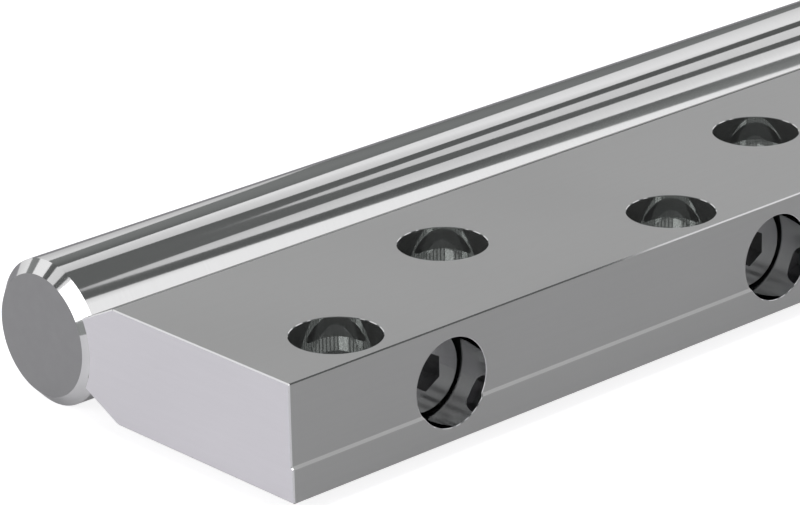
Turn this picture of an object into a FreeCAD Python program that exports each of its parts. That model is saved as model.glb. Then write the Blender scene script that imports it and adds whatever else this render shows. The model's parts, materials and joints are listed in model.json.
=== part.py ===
"""Supported round rail: a ground steel shaft on an aluminium support bar that carries it from the side.

Axes: +X along the rail, +Y from the bar towards the free side of the shaft, +Z up. Millimetres.
Origin: on the shaft's axis, at the middle of the rail's length.
"""

import math
import os

import FreeCAD
import Part

Vector = FreeCAD.Vector

# Stock and shaft
RAIL_LENGTH = 600.0
SHAFT_DIAMETER = 25.0
SHAFT_END_CHAMFER = 2.0

# Support bar section
BAR_THICKNESS = 20.0
BAR_REACH = 61.8  # shaft axis to the reference band's face
TOP_FLAT_START = 18.8  # shaft axis to the edge where the nose taper begins
NOSE_TAPER_ANGLE = 26.0  # slope of the nose tapers, from the flat faces
SEAT_CLEARANCE = 0.02  # radial, between the shaft and its seat
CORNER_RADIUS = 0.4  # rounding of the bar's long outer edges
END_CHAMFER = 0.3  # breaks the edges of the bar's two end faces
RELIEF_DEPTH = 0.4  # the side face above the reference band stands back by this
RELIEF_BEVEL_HEIGHT = 0.7
REFERENCE_BAND_HEIGHT = 5.6  # underside to the foot of the bevel

# Mounting holes, from above, in two staggered rows
HOLE_PITCH = 75.0
OUTER_ROW_INSET = 9.8  # reference band's face to the row next to it
ROW_SPACING = 16.5
OUTER_ROW_START = 18.0  # near end of the rail to the row's first hole
INNER_ROW_START = 56.25
MOUNTING_HOLE_DIAMETER = 9.0
MOUNTING_COUNTERBORE_DIAMETER = 15.0
MOUNTING_COUNTERBORE_DEPTH = 10.8

# Shaft screws, from the side, and their holes
SHAFT_SCREW_START = 33.75  # near end of the rail to the first screw
SCREW_THREAD_DIAMETER = 8.0
SCREW_LENGTH = 45.0
SCREW_HEAD_DIAMETER = 14.0
SCREW_HEAD_HEIGHT = 8.0
SOCKET_ACROSS_FLATS = 6.0
SOCKET_DEPTH = 4.0
SCREW_HEAD_RECESS = 6.1  # side face to the top of the head
SCREW_HOLE_DIAMETER = 9.0
SCREW_COUNTERBORE_DIAMETER = 15.0
THREAD_CLEARANCE = 0.02  # radial, between the screw's thread and the tapped hole
TAPPED_HOLE_RUNOUT = 3.0  # tapped hole beyond the screw's tip

# Sizes that follow
SHAFT_RADIUS = SHAFT_DIAMETER / 2
SEAT_RADIUS = SHAFT_RADIUS + SEAT_CLEARANCE
BAR_TOP = BAR_THICKNESS / 2
BAR_BOTTOM = -BAR_THICKNESS / 2
SIDE_FACE = BAR_REACH - RELIEF_DEPTH
OUTER_ROW = BAR_REACH - OUTER_ROW_INSET
INNER_ROW = OUTER_ROW - ROW_SPACING
NEAR_END = -RAIL_LENGTH / 2
SCREW_BEARING = SIDE_FACE - SCREW_HEAD_RECESS - SCREW_HEAD_HEIGHT
SCREW_TIP = SCREW_BEARING - SCREW_LENGTH
TAPPED_HOLE_END = SCREW_TIP - TAPPED_HOLE_RUNOUT
OVERCUT = 1.0  # how far a cutting tool runs past a face


def stations(first):
    """Distances along X of a row of holes whose first one is this far from the near end."""
    count = int((RAIL_LENGTH - first - MOUNTING_COUNTERBORE_DIAMETER / 2) // HOLE_PITCH) + 1
    return [NEAR_END + first + HOLE_PITCH * i for i in range(count)]


def turned(profile, centre, axis):
    """A solid turned about a line, from (distance along the axis, radius) corners that start and end on it."""
    frame = FreeCAD.Rotation(Vector(1, 0, 0), axis)
    points = [Vector(along, 0, radius) for along, radius in profile]
    face = Part.Face(Part.makePolygon(points + [points[0]]))
    solid = face.revolve(Vector(0, 0, 0), Vector(1, 0, 0), 360)
    solid.Placement = FreeCAD.Placement(centre, frame)
    return solid


def seat_meeting_point():
    """Where a nose taper meets the seat's arc, as (distance from the shaft axis, height above it)."""
    slope = math.radians(NOSE_TAPER_ANGLE)
    along, down = math.cos(slope), math.sin(slope)
    # distance t from the taper's start along it, where the radius is the seat's
    b = TOP_FLAT_START * along + BAR_TOP * down
    c = TOP_FLAT_START**2 + BAR_TOP**2 - SEAT_RADIUS**2
    t = b - math.sqrt(b * b - c)
    return TOP_FLAT_START - t * along, BAR_TOP - t * down


def bar_section():
    """The bar's section at the near end: flat faces, nose tapers, the seat's arc and the relieved side face."""
    seat_out, seat_up = seat_meeting_point()
    bevel_foot = BAR_BOTTOM + REFERENCE_BAND_HEIGHT
    bevel_head = bevel_foot + RELIEF_BEVEL_HEIGHT
    outline = [
        (seat_out, seat_up),
        (TOP_FLAT_START, BAR_TOP),
        (SIDE_FACE, BAR_TOP),
        (SIDE_FACE, bevel_head),
        (BAR_REACH, bevel_foot),
        (BAR_REACH, BAR_BOTTOM),
        (TOP_FLAT_START, BAR_BOTTOM),
        (seat_out, -seat_up),
    ]
    points = [Vector(NEAR_END, -out, up) for out, up in outline]
    edges = [Part.LineSegment(a, b).toShape() for a, b in zip(points, points[1:])]
    seat_middle = Vector(NEAR_END, -SEAT_RADIUS, 0)
    edges.append(Part.Arc(points[-1], seat_middle, points[0]).toShape())
    return Part.Face(Part.Wire(edges))


def is_long_corner(edge):
    """True for the lengthwise edges of the bar's top and underside, which are rounded."""
    box = edge.BoundBox
    lengthwise = box.XLength > RAIL_LENGTH / 2
    return lengthwise and abs(abs(box.Center.z) - BAR_TOP) < CORNER_RADIUS


def is_end_edge(edge):
    """True for the end faces' edges that are broken, all but the seat's arc."""
    box = edge.BoundBox
    at_end = abs(abs(box.Center.x) - RAIL_LENGTH / 2) < END_CHAMFER
    radius = math.hypot(edge.CenterOfMass.y, edge.CenterOfMass.z)
    return at_end and radius > SEAT_RADIUS


def stepped_hole(top, step, bottom, bore_diameter, counterbore_diameter):
    """Half section of a counterbored hole's tool, from the far end of its bore to its mouth."""
    bore = bore_diameter / 2
    counterbore = counterbore_diameter / 2
    return [(bottom, 0), (bottom, bore), (step, bore), (step, counterbore), (top, counterbore), (top, 0)]


def mounting_hole(x, distance):
    """The tool that cuts one counterbored hole from the top face down through the bar."""
    floor = BAR_TOP - MOUNTING_COUNTERBORE_DEPTH
    profile = stepped_hole(BAR_TOP + OVERCUT, floor, BAR_BOTTOM - OVERCUT,
                           MOUNTING_HOLE_DIAMETER, MOUNTING_COUNTERBORE_DIAMETER)
    return turned(profile, Vector(x, -distance, 0), Vector(0, 0, 1))


def screw_hole(x):
    """The tool that cuts one counterbored cross hole from the side face through to the shaft's seat."""
    profile = stepped_hole(BAR_REACH + OVERCUT, SCREW_BEARING, 0,
                           SCREW_HOLE_DIAMETER, SCREW_COUNTERBORE_DIAMETER)
    return turned(profile, Vector(x, 0, 0), Vector(0, -1, 0))


def support_bar():
    """The extruded bar with its broken edges, two rows of mounting holes and the shaft's screw holes."""
    bar = bar_section().extrude(Vector(RAIL_LENGTH, 0, 0))
    bar = bar.makeFillet(CORNER_RADIUS, [e for e in bar.Edges if is_long_corner(e)])
    bar = bar.makeChamfer(END_CHAMFER, [e for e in bar.Edges if is_end_edge(e)])
    tools = [mounting_hole(x, OUTER_ROW) for x in stations(OUTER_ROW_START)]
    tools += [mounting_hole(x, INNER_ROW) for x in stations(INNER_ROW_START)]
    tools += [screw_hole(x) for x in stations(SHAFT_SCREW_START)]
    return bar.cut(tools)


def tapped_hole(x):
    """The tool that cuts one blind hole across the shaft, at the thread's outer diameter."""
    radius = SCREW_THREAD_DIAMETER / 2 + THREAD_CLEARANCE
    mouth = SHAFT_RADIUS + OVERCUT
    profile = [(TAPPED_HOLE_END, 0), (TAPPED_HOLE_END, radius), (mouth, radius), (mouth, 0)]
    return turned(profile, Vector(x, 0, 0), Vector(0, -1, 0))


def shaft():
    """The round shaft, chamfered at both ends and tapped across for its screws."""
    half = RAIL_LENGTH / 2
    profile = [
        (-half, 0),
        (-half, SHAFT_RADIUS - SHAFT_END_CHAMFER),
        (-half + SHAFT_END_CHAMFER, SHAFT_RADIUS),
        (half - SHAFT_END_CHAMFER, SHAFT_RADIUS),
        (half, SHAFT_RADIUS - SHAFT_END_CHAMFER),
        (half, 0),
    ]
    blank = turned(profile, Vector(0, 0, 0), Vector(1, 0, 0))
    return blank.cut([tapped_hole(x) for x in stations(SHAFT_SCREW_START)])


def hex_socket(mouth):
    """The tool that cuts a hexagon socket into a head whose top is this far out, with flats across the rail."""
    corner = SOCKET_ACROSS_FLATS / math.sqrt(3)
    angles = [math.radians(60 * i) for i in range(7)]
    ring = [Vector(mouth - SOCKET_DEPTH, corner * math.sin(a), corner * math.cos(a)) for a in angles]
    return Part.Face(Part.makePolygon(ring)).extrude(Vector(SOCKET_DEPTH + OVERCUT, 0, 0))


def cap_screw(x):
    """One socket head cap screw, head outwards, through the bar and into the shaft."""
    thread = SCREW_THREAD_DIAMETER / 2
    head = SCREW_HEAD_DIAMETER / 2
    top = SCREW_BEARING + SCREW_HEAD_HEIGHT
    profile = [(SCREW_TIP, 0), (SCREW_TIP, thread), (SCREW_BEARING, thread),
               (SCREW_BEARING, head), (top, head), (top, 0)]
    blank = turned(profile, Vector(0, 0, 0), Vector(1, 0, 0))
    screw = blank.cut(hex_socket(top))
    screw.Placement = FreeCAD.Placement(Vector(x, 0, 0), FreeCAD.Rotation(Vector(0, 0, 1), -90))
    return screw


def pieces():
    """Every separate piece of the rail, by name."""
    named = {"shaft": shaft(), "support_bar": support_bar()}
    for number, x in enumerate(stations(SHAFT_SCREW_START), start=1):
        named[f"cap_screw_{number}"] = cap_screw(x)
    return named


def solid_of(shape):
    """The one solid in a shape, without seams left by cutting."""
    whole = shape.removeSplitter()
    return whole.Solids[0] if len(whole.Solids) == 1 else whole


os.makedirs("parts", exist_ok=True)
for name, shape in pieces().items():
    piece = solid_of(shape)
    piece.exportStep(os.path.join("parts", f"{name}.step"))
    box = piece.BoundBox
    print(f"{name}: {len(piece.Solids)} solid, valid {piece.isValid()}, volume {piece.Volume:.0f} mm3, "
          f"X {box.XMin:.2f} to {box.XMax:.2f}, Y {box.YMin:.2f} to {box.YMax:.2f}, "
          f"Z {box.ZMin:.2f} to {box.ZMax:.2f}")
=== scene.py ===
import json
import math

import bmesh
import bpy
from mathutils import Matrix, Vector


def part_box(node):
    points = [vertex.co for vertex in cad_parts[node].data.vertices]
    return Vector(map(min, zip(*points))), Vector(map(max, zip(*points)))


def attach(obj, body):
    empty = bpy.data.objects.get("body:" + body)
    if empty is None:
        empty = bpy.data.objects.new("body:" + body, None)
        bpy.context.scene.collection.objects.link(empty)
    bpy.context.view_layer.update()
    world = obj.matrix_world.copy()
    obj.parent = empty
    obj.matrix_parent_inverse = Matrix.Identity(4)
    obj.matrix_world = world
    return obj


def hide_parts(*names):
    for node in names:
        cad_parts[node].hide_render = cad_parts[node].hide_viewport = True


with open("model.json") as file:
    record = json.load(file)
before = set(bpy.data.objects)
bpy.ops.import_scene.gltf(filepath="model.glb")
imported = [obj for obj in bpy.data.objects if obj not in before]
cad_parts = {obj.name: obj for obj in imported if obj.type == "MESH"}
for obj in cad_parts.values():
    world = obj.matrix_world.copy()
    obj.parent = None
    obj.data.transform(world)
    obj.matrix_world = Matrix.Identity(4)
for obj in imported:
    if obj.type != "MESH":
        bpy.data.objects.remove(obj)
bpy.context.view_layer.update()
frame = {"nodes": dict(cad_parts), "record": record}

# Everything is in metres and in the CAD's frame: X along the rail, the bar towards -Y, Z up.
MM = 0.001

# Sizes read from the frame
shaft_low, shaft_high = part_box("shaft")
bar_low, bar_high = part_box("support_bar")
SHAFT_RADIUS = shaft_high.z
HALF_LENGTH = shaft_high.x
BAR_TOP = bar_high.z
BAR_REACH = -bar_low.y
SCREWS = [name for name in frame["nodes"] if name.startswith("cap_screw_")]
SCREWS.sort(key=lambda n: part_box(n)[0].x)
SCREW_STATIONS = [(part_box(name)[0].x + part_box(name)[1].x) / 2 for name in SCREWS]
HOLE_PITCH = SCREW_STATIONS[1] - SCREW_STATIONS[0]
screw_low, screw_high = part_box(SCREWS[0])
HEAD_RADIUS = (screw_high.x - screw_low.x) / 2
HEAD_TOP = -screw_low.y
SCREW_TIP = -screw_high.y

# Shaft
SHAFT_END_CHAMFER = 2.0 * MM
SEAT_CLEARANCE = 0.02 * MM

# Support bar's section
TOP_FLAT_START = 18.8 * MM
NOSE_TAPER_ANGLE = math.radians(26)
CORNER_BREAK = 0.2 * MM  # legs of the small chamfers along the bar's corners and around its ends
RELIEF_DEPTH = 0.4 * MM
RELIEF_BEVEL_HEIGHT = 0.7 * MM
REFERENCE_BAND_HEIGHT = 5.6 * MM
BEVEL_STEPS = 6
SIDE_FACE = BAR_REACH - RELIEF_DEPTH
UNDERSIDE_NORMAL = -0.5  # faces that look down more steeply than this belong to the underside; their chamfers take the darker side material, as painted shade

# Holes
COUNTERBORE_RADIUS = 7.5 * MM
BORE_RADIUS = 4.5 * MM
HOLE_EDGE_BREAK = 0.1 * MM
SIDE_RIM_ROUNDING = 0.1 * MM
OVERCUT = 1.0 * MM  # how far a cutting solid runs past a face
SEAT_OVERCUT = 2.0 * MM  # how far the cross holes' solids reach past the seat

# Cap screws
HEAD_HEIGHT = 8.0 * MM
THREAD_RADIUS = 4.0 * MM
THREAD_CLEARANCE = 0.02 * MM
TAPPED_HOLE_RUNOUT = 3.0 * MM
HEAD_EDGE_RADIUS = 0.25 * MM
HEAD_FOOT_CHAMFER = 0.25 * MM
TIP_CHAMFER = 1.0 * MM
SOCKET_CORNERS = 6
SOCKET_ACROSS_FLATS = 6.0 * MM
SOCKET_DEPTH = 4.0 * MM
BEARING = HEAD_TOP - HEAD_HEIGHT

# How finely round forms are cut
SHAFT_SEGMENTS = 256
HOLE_SEGMENTS = 96
SCREW_SEGMENTS = 96
ARC_STEPS = 4
SEAT_STEPS = 24
RIM_STEPS = 3
SHARP_ANGLE = math.radians(35)
FACE_WEIGHT = 100  # the greatest, so that large faces keep their normals

# Metals
NOISE_RANGE = (0.3, 0.7)  # where most of a noise's values lie
MARKS_SHARE = 0.6  # the tool marks' part in a metal's uneven tone
PATCHES_SHARE = 0.4
BUMP_DISTANCE = 0.02 * MM

# Patches and tool marks, as their noise's scales along X, Y and Z
PATCHES = (25, 25, 25)
ROUND_SHAFT = (2500, 60, 60)
TURNED = (400, 400, 400)
ALONG_RAIL = (40, 1200, 1200)
ACROSS_BAR = (1200, 80, 1200)
DOWN_BORE = (1500, 1500, 40)
THROUGH_BAR = (900, 60, 900)
EVEN = (300, 300, 300)

# Camera, fitted to the corners and holes in the photo
CAMERA_AZIMUTH = math.radians(47.835)
CAMERA_ELEVATION = math.radians(21.611)
CAMERA_ROLL = math.radians(-1.229)
CAMERA_OFFSET = (0.058236, 0.013469, 0.705267)  # right, up and back from the shaft's near end
IMAGE_WIDTH = 800
FOCAL_PIXELS = 4341.73
SENSOR_WIDTH = 36.0
CLIP_END = 100.0

# Studio: a white surrounding seen through a ring of arched openings in a grey wall
WALL_RADIUS = 10.0
FLOOR_RADIUS = 12.0
OPENINGS = 13
OPENING_MIDDLE = math.radians(6.5)
OPENING_HALF_WIDTH = math.radians(9.5)
OPENING_SHIFTS = {2: math.radians(1.5)}  # turns single openings, by their numbers
ARCH_SPRING = math.radians(43.0)
ARCH_TOP = math.radians(53.3)
WALL_TOP = math.radians(53.8)
COLUMNS_PER_OPENING = 32
RING_SEGMENTS = 96
FLOOR_HEIGHT = shaft_low.z
# Pairs of a share of the wall's height and its tone there
WALL_TONES = ((0.0, 0.31), (0.15, 0.31), (0.28, 0.28), (0.45, 0.225),
              (0.6, 0.14), (0.68, 0.115), (0.97, 0.14))
# Pairs of the sine of an elevation and the sky's tone there
SKY_TONES = ((0.61, 1.0), (0.67, 0.83), (0.85, 0.55))
WALL_TINT = (0.965, 1.0, 0.985)

# Lights and floor
KEY_AZIMUTH = math.radians(178)
KEY_HALF_WIDTH = math.radians(31.5)
KEY_FOOT = math.radians(17.5)
KEY_HEAD = math.radians(45.0)
KEY_DISTANCE = 8.0
KEY_RADIANCE = 2.2
TOP_LIGHT_HEIGHT = 13.0
TOP_LIGHT_SIZE = 8.0
TOP_LIGHT_RADIANCE = 3.6
WATTS_PER_RADIANCE = 4  # a lamp's power for each square metre that glows with a radiance of 1
FLOOR_COLOUR = (0.46, 0.453, 0.475, 1.0)
CAMERA_LIFT = 0.8  # brings the lit floor to white where the camera sees it
MIRRORED_LIFT = 0.24  # the same where metal mirrors the floor
MIRRORED_LIFT_BEHIND = 0.02  # on the floor behind the shaft, lower as painted shade, so that the floor mirrored there looks darker
LIFT_FADE = 40 * MM  # length over which one gives way to the other


def node_tree(material):
    """A material's nodes and links, emptied but for its output."""
    material.use_nodes = True
    tree = material.node_tree
    tree.nodes.clear()
    output = tree.nodes.new("ShaderNodeOutputMaterial")
    return tree.nodes, tree.links, output


def stretched_noise(nodes, links, scale, detail=4.0):
    """Noise over the piece's own coordinates, stretched by a different scale for each axis, per metre."""
    coordinates = nodes.new("ShaderNodeTexCoord")
    mapping = nodes.new("ShaderNodeMapping")
    mapping.inputs["Scale"].default_value = scale
    noise = nodes.new("ShaderNodeTexNoise")
    noise.inputs["Scale"].default_value = 1.0
    noise.inputs["Detail"].default_value = detail
    links.new(coordinates.outputs["Object"], mapping.inputs["Vector"])
    links.new(mapping.outputs["Vector"], noise.inputs["Vector"])
    return noise.outputs["Fac"]


def ranged(nodes, links, value, low, high):
    """A noise value spread over a range."""
    spread = nodes.new("ShaderNodeMapRange")
    spread.inputs["From Min"].default_value = NOISE_RANGE[0]
    spread.inputs["From Max"].default_value = NOISE_RANGE[1]
    spread.inputs["To Min"].default_value = low
    spread.inputs["To Max"].default_value = high
    links.new(value, spread.inputs["Value"])
    return spread.outputs["Result"]


def mixed(nodes, links, factor, dark, light):
    """A colour between two, by a noise value."""
    mix = nodes.new("ShaderNodeMix")
    mix.data_type = "RGBA"
    mix.inputs["A"].default_value = (*dark, 1.0)
    mix.inputs["B"].default_value = (*light, 1.0)
    links.new(factor, mix.inputs["Factor"])
    return mix.outputs["Result"]


def uneven_tone(nodes, links, marks, patches, colour, spread):
    """A colour that strays by a share of itself, along the tool marks and in patches."""
    blend = nodes.new("ShaderNodeMath")
    blend.operation = "ADD"
    links.new(ranged(nodes, links, marks, 0.0, MARKS_SHARE), blend.inputs[0])
    links.new(ranged(nodes, links, patches, 0.0, PATCHES_SHARE), blend.inputs[1])
    dark = [channel * (1 - spread) for channel in colour]
    light = [channel * (1 + spread) for channel in colour]
    return mixed(nodes, links, blend.outputs["Value"], dark, light)


def worked_metal(name, colour, roughness, grain, spread=0.04, roughness_spread=0.04, bump=0.05,
                 edge_tint=1.0, metallic=1.0):
    """Metal with tool marks stretched along the grain, patches of slightly other tone and uneven gloss."""
    material = bpy.data.materials.new(name)
    nodes, links, output = node_tree(material)
    shader = nodes.new("ShaderNodeBsdfPrincipled")
    shader.inputs["Metallic"].default_value = metallic
    shader.inputs["Specular Tint"].default_value = (edge_tint, edge_tint, edge_tint, 1.0)
    marks = stretched_noise(nodes, links, grain)
    patches = stretched_noise(nodes, links, PATCHES, detail=2.0)
    links.new(uneven_tone(nodes, links, marks, patches, colour, spread), shader.inputs["Base Color"])
    gloss = ranged(nodes, links, patches, roughness - roughness_spread, roughness + roughness_spread)
    links.new(gloss, shader.inputs["Roughness"])
    relief = nodes.new("ShaderNodeBump")
    relief.inputs["Strength"].default_value = bump
    relief.inputs["Distance"].default_value = BUMP_DISTANCE
    links.new(marks, relief.inputs["Height"])
    links.new(relief.outputs["Normal"], shader.inputs["Normal"])
    links.new(shader.outputs["BSDF"], output.inputs["Surface"])
    return material


def mesh_from(name, vertices, faces):
    """A mesh from points and faces, with its faces turned outwards."""
    mesh = bpy.data.meshes.new(name)
    mesh.from_pydata(vertices, [], faces)
    made = bmesh.new()
    made.from_mesh(mesh)
    bmesh.ops.recalc_face_normals(made, faces=made.faces)
    made.to_mesh(mesh)
    made.free()
    return mesh


def object_from(name, mesh, materials=()):
    """An object in the scene for a mesh, with its materials."""
    for material in materials:
        mesh.materials.append(material)
    piece = bpy.data.objects.new(name, mesh)
    bpy.context.scene.collection.objects.link(piece)
    return piece


def turned_rings(profile, segments):
    """The points of a profile turned about the X axis, and the numbers of the points in each ring."""
    vertices, rings = [], []
    for along, radius in profile:
        first = len(vertices)
        if radius == 0:
            vertices.append(Vector((along, 0, 0)))
        else:
            for i in range(segments):
                angle = 2 * math.pi * (i + 0.5) / segments
                vertices.append(Vector((along, radius * math.cos(angle), radius * math.sin(angle))))
        rings.append(list(range(first, len(vertices))))
    return vertices, rings


def faces_between(first, second):
    """The faces between two rings, or the one ring's disc where the other is a point on the axis."""
    if len(first) == 1 or len(second) == 1:
        return [second if len(first) == 1 else first]
    count = len(first)
    return [[first[i], first[(i + 1) % count], second[(i + 1) % count], second[i]] for i in range(count)]


def turned_mesh(name, profile, segments, frame_matrix, material_of=None):
    """A closed mesh turned about its own X axis from (along, radius) points, whose ends lie on the axis.

    material_of gives the material number of each stretch of the profile.
    """
    vertices, rings = turned_rings(profile, segments)
    faces, numbers = [], []
    for stretch, (first, second) in enumerate(zip(rings, rings[1:])):
        added = faces_between(first, second)
        faces += added
        numbers += [material_of(stretch) if material_of else 0] * len(added)
    used = sorted({v for face in faces for v in face})
    place = {old: new for new, old in enumerate(used)}
    points = [frame_matrix @ vertices[v] for v in used]
    mesh = mesh_from(name, points, [[place[v] for v in face] for face in faces])
    for polygon, number in zip(mesh.polygons, numbers):
        polygon.material_index = number
    return mesh


FLAT, SIDE, BORE, CROSS, EDGE, END, STEP, TAPER = range(8)  # the bar's materials


def chamfered(before, corner, after):
    """The two points of a corner of an outline that is cut off with equal legs along both its sides."""
    way_in = (corner - before).normalized()
    way_out = (after - corner).normalized()
    return corner - way_in * CORNER_BREAK, corner + way_out * CORNER_BREAK


def seat_points():
    """The arc that holds the shaft, from below to above, as (distance from the shaft, height) points."""
    radius = SHAFT_RADIUS + SEAT_CLEARANCE
    slope = Vector((math.cos(NOSE_TAPER_ANGLE), math.sin(NOSE_TAPER_ANGLE)))
    nose = Vector((TOP_FLAT_START, BAR_TOP))
    across = nose.dot(slope)
    along_taper = across - math.sqrt(across**2 - nose.length_squared + radius**2)
    top = nose - slope * along_taper
    half_angle = math.atan2(top.y, top.x)
    for i in range(SEAT_STEPS + 1):
        angle = half_angle * (2 * i / SEAT_STEPS - 1)
        yield Vector((math.cos(angle), math.sin(angle))) * radius


def step_points():
    """The soft step from the relieved side face down and out to the reference band."""
    foot = REFERENCE_BAND_HEIGHT - BAR_TOP
    for i in range(BEVEL_STEPS + 1):
        share = i / BEVEL_STEPS
        out = RELIEF_DEPTH * (1 - math.cos(math.pi * share)) / 2
        yield Vector((SIDE_FACE + out, foot + RELIEF_BEVEL_HEIGHT * (1 - share)))


def bar_outline():
    """The bar's section from the seat's foot round, as (point, material of the face that starts there)."""
    seat = list(seat_points())
    nose, under_nose = Vector((TOP_FLAT_START, BAR_TOP)), Vector((TOP_FLAT_START, -BAR_TOP))
    top, low = Vector((SIDE_FACE, BAR_TOP)), Vector((BAR_REACH, -BAR_TOP))
    step = list(step_points())
    outline = [(point, SIDE) for point in seat[:-1]] + [(seat[-1], TAPER)]
    outline += zip(chamfered(seat[-1], nose, top), (EDGE, FLAT))
    outline += zip(chamfered(nose, top, step[0]), (EDGE, SIDE))
    steep = range(1, BEVEL_STEPS - 1)  # the step's faces but for its soft ends; these take the lighter material of the painted highlight
    outline += [(point, STEP if i in steep else SIDE) for i, point in enumerate(step)]
    # The lower outer corner's chamfer takes the darker side material rather than the bright edge one:
    # painted shade under the bar
    outline += zip(chamfered(step[-1], low, under_nose), (SIDE, FLAT))
    outline += zip(chamfered(low, under_nose, seat[0]), (EDGE, TAPER))
    return outline


def break_end_edges(mesh):
    """Breaks the edges around the bar's end faces, all but the seat's arc."""
    made = bmesh.new()
    made.from_mesh(mesh)
    seat_radius = SHAFT_RADIUS + SEAT_CLEARANCE * 2
    broken = []
    for edge in made.edges:
        middle = (edge.verts[0].co + edge.verts[1].co) / 2
        around_end = END in (face.material_index for face in edge.link_faces)
        if around_end and math.hypot(middle.y, middle.z) > seat_radius:
            broken.append(edge)
    cut_off = bmesh.ops.bevel(made, geom=broken, offset=CORNER_BREAK, segments=1, affect="EDGES",
                              material=EDGE)
    # Chamfers that look down take the darker side material rather than the bright edge one: painted shade
    # under the bar's ends
    for face in cut_off["faces"]:
        if face.normal.z < UNDERSIDE_NORMAL:
            face.material_index = SIDE
    made.to_mesh(mesh)
    made.free()


def bar_blank():
    """The bar before its holes are cut: the section drawn out along the rail, with broken end edges."""
    outline = bar_outline()
    count = len(outline)
    points = [Vector((x, -point.x, point.y)) for x in (-HALF_LENGTH, HALF_LENGTH) for point, _ in outline]
    near, far = list(range(count)), list(range(count, 2 * count))
    mesh = mesh_from("support_bar_blank", points, faces_between(near, far) + [near, far])
    for polygon, (_, kind) in zip(mesh.polygons, outline + [(None, END)] * 2):
        polygon.material_index = kind
    break_end_edges(mesh)
    return mesh


def hole_mesh(name, top, step, bottom, frame_matrix, wall, mouth_break=HOLE_EDGE_BREAK):
    """The solid that a counterbored hole takes away, with broken edges at its mouth and foot."""
    rim = HOLE_EDGE_BREAK
    profile = [
        (bottom - OVERCUT, 0),
        (bottom - OVERCUT, BORE_RADIUS + rim + OVERCUT),
        (bottom + rim, BORE_RADIUS),
        (step - rim, BORE_RADIUS),
        (step, BORE_RADIUS + rim),
        (step, COUNTERBORE_RADIUS),
        (top - mouth_break, COUNTERBORE_RADIUS),
        (top + OVERCUT, COUNTERBORE_RADIUS + (mouth_break + OVERCUT if mouth_break else 0)),
        (top + OVERCUT, 0),
    ]
    kinds = [wall, EDGE, wall, wall, wall, wall, EDGE if mouth_break else wall, wall]
    return turned_mesh(name, profile, HOLE_SEGMENTS, frame_matrix, lambda stretch: kinds[stretch])


def upright(x, y):
    """Turns a mesh's own X axis up and puts it at a place on the bar."""
    return Matrix.Translation((x, y, 0)) @ Matrix.Rotation(-math.pi / 2, 4, "Y")


def sideways(x):
    """Turns a mesh's own X axis away from the shaft, through the bar, at a station along the rail."""
    return Matrix.Translation((x, 0, 0)) @ Matrix.Rotation(-math.pi / 2, 4, "Z")


def mounting_rows():
    """Places and floor height of all mounting holes, from the record's first and last hole of each row."""
    rows = [m for m in frame["record"]["mounts"] if m["name"].endswith("_holes_1_and_8")]
    for mount in rows:
        middle, y, floor = mount["pos_m"]
        half_span = mount["dims"]["spacing_x_mm"] * MM / 2
        count = round(2 * half_span / HOLE_PITCH) + 1
        yield [(middle - half_span + HOLE_PITCH * i, y, floor) for i in range(count)]


def joined(name, meshes):
    """One mesh from several, which are then removed."""
    whole = bmesh.new()
    for mesh in meshes:
        whole.from_mesh(mesh)
        bpy.data.meshes.remove(mesh)
    result = bpy.data.meshes.new(name)
    whole.to_mesh(result)
    whole.free()
    return result


def cut(mesh, cutter, materials):
    """A mesh with a cutter's solids taken away, the cut faces in the cutter's materials."""
    stock = object_from("stock", mesh, materials)
    tool = object_from("tool", cutter, materials)
    boolean = stock.modifiers.new("cut", "BOOLEAN")
    boolean.operation = "DIFFERENCE"
    boolean.solver = "EXACT"
    boolean.material_mode = "TRANSFER"
    boolean.object = tool
    bpy.context.view_layer.update()
    result = bpy.data.meshes.new_from_object(stock.evaluated_get(bpy.context.evaluated_depsgraph_get()))
    for leftover in (stock, tool):
        data = leftover.data
        bpy.data.objects.remove(leftover)
        bpy.data.meshes.remove(data)
    return result


def shade_smooth(mesh):
    """Shades a mesh smooth, with sharp edges at corners and where materials meet, but for the soft step."""
    for polygon in mesh.polygons:
        polygon.use_smooth = True
    mesh.set_sharp_from_angle(angle=SHARP_ANGLE)
    made = bmesh.new()
    made.from_mesh(mesh)
    for edge in made.edges:
        kinds = {face.material_index for face in edge.link_faces}
        if len(kinds) > 1 and kinds != {SIDE, STEP}:
            edge.smooth = False
    made.to_mesh(mesh)
    made.free()


def finish_piece(name, mesh, nodes):
    """Shades a mesh and puts it in the place of its CAD nodes."""
    shade_smooth(mesh)
    mesh.name = name
    piece = object_from(name, mesh)
    weighted = piece.modifiers.new("weighted", "WEIGHTED_NORMAL")
    weighted.keep_sharp = True
    weighted.weight = FACE_WEIGHT
    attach(piece, "root")
    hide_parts(*nodes)


def shaft_piece(materials):
    """The chamfered shaft with its blind tapped holes."""
    shoulder = HALF_LENGTH - SHAFT_END_CHAMFER
    face_radius = SHAFT_RADIUS - SHAFT_END_CHAMFER
    near_half = [(-HALF_LENGTH, 0), (-HALF_LENGTH, face_radius), (-shoulder, SHAFT_RADIUS)]
    profile = near_half + [(-along, radius) for along, radius in reversed(near_half)]
    last = len(profile) - 2

    def kind(stretch):
        return 1 if stretch in (0, last) else 0

    blank = turned_mesh("shaft_blank", profile, SHAFT_SEGMENTS, Matrix.Identity(4), kind)
    radius = THREAD_RADIUS + THREAD_CLEARANCE
    end, mouth = SCREW_TIP - TAPPED_HOLE_RUNOUT, SHAFT_RADIUS + OVERCUT
    outline = [(end, 0), (end, radius), (mouth, radius), (mouth, 0)]
    tools = [turned_mesh("tapped", outline, SCREW_SEGMENTS, sideways(x)) for x in SCREW_STATIONS]
    mesh = cut(blank, joined("tapped_holes", tools), materials)
    finish_piece("shaft_rod", mesh, ["shaft"])


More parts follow.
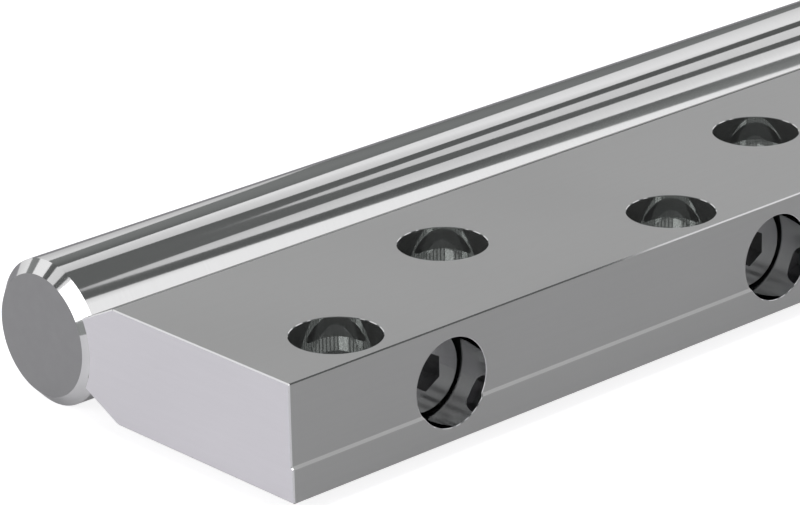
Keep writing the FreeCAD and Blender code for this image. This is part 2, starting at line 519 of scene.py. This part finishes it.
def break_side_mouths(mesh):
    """Rounds the cross holes' outer edges, which run over the side face's step, within the bar's reach."""
    made = bmesh.new()
    made.from_mesh(mesh)
    rims = []
    for edge in made.edges:
        kinds = {face.material_index for face in edge.link_faces}
        on_face = all(-vertex.co.y > SIDE_FACE - SIDE_RIM_ROUNDING for vertex in edge.verts)
        if on_face and CROSS in kinds and len(kinds) == 2:
            rims.append(edge)
    bmesh.ops.bevel(made, geom=rims, offset=SIDE_RIM_ROUNDING, segments=RIM_STEPS, affect="EDGES",
                    material=EDGE)
    for vertex in made.verts:
        vertex.co.y = max(vertex.co.y, -BAR_REACH)
    made.to_mesh(mesh)
    made.free()


def bar_piece(materials):
    """The support bar with its end faces, mounting holes and cross holes."""
    tools = []
    for row in mounting_rows():
        for x, y, floor in row:
            tools.append(hole_mesh("mounting_hole", BAR_TOP, floor, -BAR_TOP, upright(x, y), BORE))
    inner = SHAFT_RADIUS - SEAT_OVERCUT
    for x in SCREW_STATIONS:
        tools.append(hole_mesh("cross_hole", SIDE_FACE, BEARING, inner, sideways(x), CROSS, mouth_break=0))
    mesh = cut(bar_blank(), joined("hole_tools", tools), materials)
    break_side_mouths(mesh)
    finish_piece("rail_support_bar", mesh, ["support_bar"])


def socket_mesh():
    """The solid that a hexagon socket takes out of a screw's head."""
    corner = SOCKET_ACROSS_FLATS / math.sqrt(3)
    floor, mouth = HEAD_TOP - SOCKET_DEPTH, HEAD_TOP + OVERCUT
    ring = []
    for along in (floor, mouth):
        for i in range(SOCKET_CORNERS):
            angle = math.radians(360 / SOCKET_CORNERS * i)
            ring.append(Vector((along, corner * math.sin(angle), corner * math.cos(angle))))
    low, high = list(range(SOCKET_CORNERS)), list(range(SOCKET_CORNERS, 2 * SOCKET_CORNERS))
    return mesh_from("socket", ring, faces_between(low, high) + [low, high])


def screw_mesh(materials):
    """One cap screw about its own X axis: rounded head with a socket, plain shank, chamfered tip."""
    profile = [
        (SCREW_TIP, 0),
        (SCREW_TIP, THREAD_RADIUS - TIP_CHAMFER),
        (SCREW_TIP + TIP_CHAMFER, THREAD_RADIUS),
        (BEARING, THREAD_RADIUS),
        (BEARING, HEAD_RADIUS - HEAD_FOOT_CHAMFER),
        (BEARING + HEAD_FOOT_CHAMFER, HEAD_RADIUS),
    ]
    for i in range(ARC_STEPS + 1):
        angle = math.pi / 2 * i / ARC_STEPS
        along = HEAD_TOP - HEAD_EDGE_RADIUS * (1 - math.sin(angle))
        profile.append((along, HEAD_RADIUS - HEAD_EDGE_RADIUS * (1 - math.cos(angle))))
    profile.append((HEAD_TOP, 0))
    blank = turned_mesh("screw_blank", profile, SCREW_SEGMENTS, Matrix.Identity(4))
    return cut(blank, socket_mesh(), materials)


def screw_pieces(materials):
    """The eight cap screws, each in the place of its CAD node."""
    pattern = screw_mesh(materials)
    for number, (node, x) in enumerate(zip(SCREWS, SCREW_STATIONS), start=1):
        mesh = pattern.copy()
        mesh.transform(sideways(x))
        finish_piece(f"socket_screw_{number}", mesh, [node])
    bpy.data.meshes.remove(pattern)


def glow(name, colour, strength):
    """A stage material of an even tone, whatever falls on it."""
    material = bpy.data.materials.new(name)
    nodes, links, output = node_tree(material)
    emission = nodes.new("ShaderNodeEmission")
    emission.inputs["Color"].default_value = (*colour, 1.0)
    emission.inputs["Strength"].default_value = strength
    links.new(emission.outputs["Emission"], output.inputs["Surface"])
    return material


def toned_ramp(nodes, tones, tint=(1.0, 1.0, 1.0)):
    """A colour ramp through tones at their positions, all tinted alike."""
    ramp = nodes.new("ShaderNodeValToRGB")
    elements = ramp.color_ramp.elements
    elements.remove(elements[1])
    elements[0].position = tones[0][0]
    for position, _ in tones[1:]:
        elements.new(position)
    for element, (_, tone) in zip(elements, tones):
        element.color = [tone * channel for channel in tint] + [1.0]
    return ramp


def wall_material():
    """The studio wall and ceiling: grey, a little lighter near the ground."""
    material = bpy.data.materials.new("studio_grey")
    nodes, links, output = node_tree(material)
    coordinates = nodes.new("ShaderNodeTexCoord")
    parts = nodes.new("ShaderNodeSeparateXYZ")
    height = nodes.new("ShaderNodeMapRange")
    height.inputs["From Max"].default_value = WALL_RADIUS * math.tan(WALL_TOP)
    ramp = toned_ramp(nodes, WALL_TONES, WALL_TINT)
    emission = nodes.new("ShaderNodeEmission")
    links.new(coordinates.outputs["Object"], parts.inputs["Vector"])
    links.new(parts.outputs["Z"], height.inputs["Value"])
    links.new(height.outputs["Result"], ramp.inputs["Fac"])
    links.new(ramp.outputs["Color"], emission.inputs["Color"])
    links.new(emission.outputs["Emission"], output.inputs["Surface"])
    return material


def product(nodes, links, value, factor):
    """A node value times a constant or another node value."""
    scale = nodes.new("ShaderNodeMath")
    scale.operation = "MULTIPLY"
    links.new(value, scale.inputs[0])
    if isinstance(factor, float):
        scale.inputs[1].default_value = factor
    else:
        links.new(factor, scale.inputs[1])
    return scale.outputs["Value"]


def rising(nodes, links, value, start):
    """A value from 0 at a place to 1 a little further on."""
    ramp = nodes.new("ShaderNodeMapRange")
    ramp.inputs["From Min"].default_value = start
    ramp.inputs["From Max"].default_value = start + LIFT_FADE
    links.new(value, ramp.inputs["Value"])
    return ramp.outputs["Result"]


def mirrored_floor_lift(nodes, links):
    """The floor's lift in reflections, which fades away behind the shaft: painted shade in what the metal
    mirrors there.
    """
    coordinates = nodes.new("ShaderNodeTexCoord")
    parts = nodes.new("ShaderNodeSeparateXYZ")
    links.new(coordinates.outputs["Object"], parts.inputs["Vector"])
    along = rising(nodes, links, parts.outputs["X"], -HALF_LENGTH)
    behind = product(nodes, links, along, rising(nodes, links, parts.outputs["Y"], 0.0))
    fade = nodes.new("ShaderNodeMapRange")
    fade.inputs["To Min"].default_value = MIRRORED_LIFT
    fade.inputs["To Max"].default_value = MIRRORED_LIFT_BEHIND
    links.new(behind, fade.inputs["Value"])
    return fade.outputs["Result"]


def floor_material():
    """A pale floor that keeps its shadow, lifted to white for the camera and a little for reflections."""
    material = bpy.data.materials.new("pale_floor")
    nodes, links, output = node_tree(material)
    diffuse = nodes.new("ShaderNodeBsdfDiffuse")
    diffuse.inputs["Color"].default_value = FLOOR_COLOUR
    emission = nodes.new("ShaderNodeEmission")
    path = nodes.new("ShaderNodeLightPath")
    lift = product(nodes, links, path.outputs["Is Camera Ray"], CAMERA_LIFT)
    mirrored_lift = mirrored_floor_lift(nodes, links)
    for ray in ("Is Glossy Ray", "Is Transmission Ray"):
        either = nodes.new("ShaderNodeMath")
        either.operation = "MAXIMUM"
        links.new(lift, either.inputs[0])
        links.new(product(nodes, links, path.outputs[ray], mirrored_lift), either.inputs[1])
        lift = either.outputs["Value"]
    links.new(lift, emission.inputs["Strength"])
    both = nodes.new("ShaderNodeAddShader")
    links.new(diffuse.outputs["BSDF"], both.inputs[0])
    links.new(emission.outputs["Emission"], both.inputs[1])
    links.new(both.outputs["Shader"], output.inputs["Surface"])
    return material


def on_circle(azimuth, radius, z):
    """A point at an azimuth and distance from the Z axis, at a height."""
    return Vector((radius * math.cos(azimuth), radius * math.sin(azimuth), z))


def floor():
    """A round pale floor under the rail."""
    angles = [2 * math.pi * i / RING_SEGMENTS for i in range(RING_SEGMENTS)]
    rim = [on_circle(angle, FLOOR_RADIUS, FLOOR_HEIGHT) for angle in angles]
    disc = object_from("floor", mesh_from("floor", rim, [list(range(RING_SEGMENTS))]), [floor_material()])


def opening_height(offset):
    """Elevation of the wall's lower edge at an azimuth from an opening's middle; 0 beside the opening."""
    share = abs(offset) / OPENING_HALF_WIDTH
    if share >= 1:
        return 0.0
    return ARCH_SPRING + (ARCH_TOP - ARCH_SPRING) * math.sqrt(1 - share**2)


def arcade():
    """The ring wall with its arched openings and the ceiling over it, hidden from the camera."""
    pitch = 2 * math.pi / OPENINGS
    ceiling_height = WALL_RADIUS * math.tan(WALL_TOP)
    vertices, faces = [], []
    for opening in range(OPENINGS):
        middle = OPENING_MIDDLE + pitch * opening
        shift = OPENING_SHIFTS.get(opening, 0.0)
        for column in range(COLUMNS_PER_OPENING):
            ends = [pitch * ((column + side) / COLUMNS_PER_OPENING - 0.5) for side in (0, 1)]
            first = len(vertices)
            for offset in ends:
                foot = FLOOR_HEIGHT + WALL_RADIUS * math.tan(opening_height(offset - shift))
                vertices.append(on_circle(middle + offset, WALL_RADIUS, foot))
                vertices.append(on_circle(middle + offset, WALL_RADIUS, ceiling_height))
            faces.append([first, first + 2, first + 3, first + 1])
    ceiling = []
    for i in range(RING_SEGMENTS):
        ceiling.append(len(vertices))
        vertices.append(on_circle(2 * math.pi * i / RING_SEGMENTS, WALL_RADIUS, ceiling_height))
    faces.append(ceiling)
    wall = object_from("studio_wall", mesh_from("studio_wall", vertices, faces), [wall_material()])
    wall.visible_camera = False


def key_light():
    """A wide upright soft box to the left of the camera, which doesn't see it."""
    reach = KEY_DISTANCE / math.cos(KEY_HALF_WIDTH)
    corners = []
    for side, elevations in ((-1, (KEY_FOOT, KEY_HEAD)), (1, (KEY_HEAD, KEY_FOOT))):
        for elevation in elevations:
            azimuth = KEY_AZIMUTH + side * KEY_HALF_WIDTH
            corners.append(on_circle(azimuth, reach, KEY_DISTANCE * math.tan(elevation)))
    white = glow("key_white", (1, 1, 1), KEY_RADIANCE)
    panel = object_from("key", mesh_from("key", corners, [[0, 1, 2, 3]]), [white])
    panel.visible_camera = False


def top_light():
    """A soft round light overhead, for the general level."""
    lamp = bpy.data.lights.new("top_light", "AREA")
    lamp.shape = "DISK"
    lamp.size = TOP_LIGHT_SIZE
    area = math.pi * (TOP_LIGHT_SIZE / 2)**2
    lamp.energy = TOP_LIGHT_RADIANCE * area * WATTS_PER_RADIANCE
    holder = bpy.data.objects.new("top_light", lamp)
    bpy.context.scene.collection.objects.link(holder)
    holder.location = (0, 0, TOP_LIGHT_HEIGHT)
    holder.visible_camera = False


def surroundings():
    """A white world, a little darker overhead."""
    world = bpy.data.worlds.new("white")
    bpy.context.scene.world = world
    world.use_nodes = True
    nodes, links = world.node_tree.nodes, world.node_tree.links
    coordinates = nodes.new("ShaderNodeTexCoord")
    parts = nodes.new("ShaderNodeSeparateXYZ")
    ramp = toned_ramp(nodes, SKY_TONES)
    background = nodes["Background"]
    background.inputs["Strength"].default_value = 1.0
    links.new(coordinates.outputs["Generated"], parts.inputs["Vector"])
    links.new(parts.outputs["Z"], ramp.inputs["Fac"])
    links.new(ramp.outputs["Color"], background.inputs["Color"])


def photo_camera():
    """The camera at the photo's place and angle."""
    flat, rise = math.cos(CAMERA_ELEVATION), math.sin(CAMERA_ELEVATION)
    east, north = math.cos(CAMERA_AZIMUTH), math.sin(CAMERA_AZIMUTH)
    back = Vector((-east * flat, -north * flat, rise))
    level_right = Vector((north, -east, 0))
    level_up = back.cross(level_right)
    right = level_right * math.cos(CAMERA_ROLL) + level_up * math.sin(CAMERA_ROLL)
    up = back.cross(right)
    along_right, along_up, along_back = CAMERA_OFFSET
    place = Vector((-HALF_LENGTH, 0, 0)) + right * along_right + up * along_up + back * along_back
    data = bpy.data.cameras.new("photo_camera")
    data.sensor_width = SENSOR_WIDTH
    data.lens = FOCAL_PIXELS * SENSOR_WIDTH / IMAGE_WIDTH
    data.clip_end = CLIP_END
    camera = bpy.data.objects.new("photo_camera", data)
    bpy.context.scene.collection.objects.link(camera)
    turn = Matrix((right, up, back)).transposed().to_4x4()
    camera.matrix_world = Matrix.Translation(place) @ turn
    bpy.context.scene.camera = camera


# Materials
chrome = worked_metal("ground_chrome", (0.78, 0.78, 0.785), roughness=0.06, grain=ROUND_SHAFT, spread=0.015,
                      roughness_spread=0.015, bump=0.01, edge_tint=0.55)
shaft_end = worked_metal("turned_end", (0.352, 0.352, 0.356), roughness=0.45, grain=TURNED)
ground_flat = worked_metal("ground_flat", (0.461, 0.46, 0.462), roughness=0.55, grain=ALONG_RAIL,
                           spread=0.012, bump=0.02)
# Side face, seat and lower chamfers: a milled finish whose tone is set below the ground top, partly as
# painted shade
milled_side_painted_shade = worked_metal("milled_side_painted_shade", (0.417, 0.419, 0.415), roughness=0.55, grain=ALONG_RAIL,
                           spread=0.012, bump=0.02)
bar_bore = worked_metal("bore_wall", (0.60, 0.61, 0.605), roughness=0.02, grain=DOWN_BORE, spread=0.12,
                        roughness_spread=0.01, bump=0.005, metallic=0.95)
cross_bore = worked_metal("cross_bore_wall", (0.66, 0.67, 0.665), roughness=0.03, grain=THROUGH_BAR,
                          spread=0.02, roughness_spread=0.01, bump=0.005)
bar_edge = worked_metal("broken_edge", (0.72, 0.72, 0.73), roughness=0.05, grain=EVEN, spread=0.03,
                        roughness_spread=0.02, bump=0.01)
# End faces: partly a lighter sawn finish, partly painted light, raised in tone and tinted lavender for the
# light and tinted reflections they catch
bar_end_painted_light = worked_metal("sawn_end_painted_light", (0.82, 0.806, 0.838), roughness=0.42, grain=ACROSS_BAR, spread=0.015)
# The soft step along the side: lighter than the faces around it, a painted highlight line
step_face_painted_highlight = worked_metal("step_face_painted_highlight", (0.56, 0.56, 0.56), roughness=0.5, grain=ALONG_RAIL, spread=0.012,
                         bump=0.02)
# Both nose tapers: darker than the ground top they are cut from, painted shade in the narrow gap beside the
# shaft
taper_face_painted_shade = worked_metal("taper_face_painted_shade", (0.33, 0.33, 0.33), roughness=0.5, grain=ALONG_RAIL, spread=0.012,
                          bump=0.02)
screw_steel = worked_metal("screw_steel", (0.25, 0.25, 0.255), roughness=0.27, grain=EVEN, metallic=0.85)

# Rail
shaft_piece([chrome, shaft_end])
bar_piece([ground_flat, milled_side_painted_shade, bar_bore, cross_bore, bar_edge, bar_end_painted_light, step_face_painted_highlight, taper_face_painted_shade])
screw_pieces([screw_steel])

# Studio and camera
floor()
arcade()
key_light()
top_light()
surroundings()
photo_camera()
bpy.context.scene.view_settings.view_transform = "Standard"
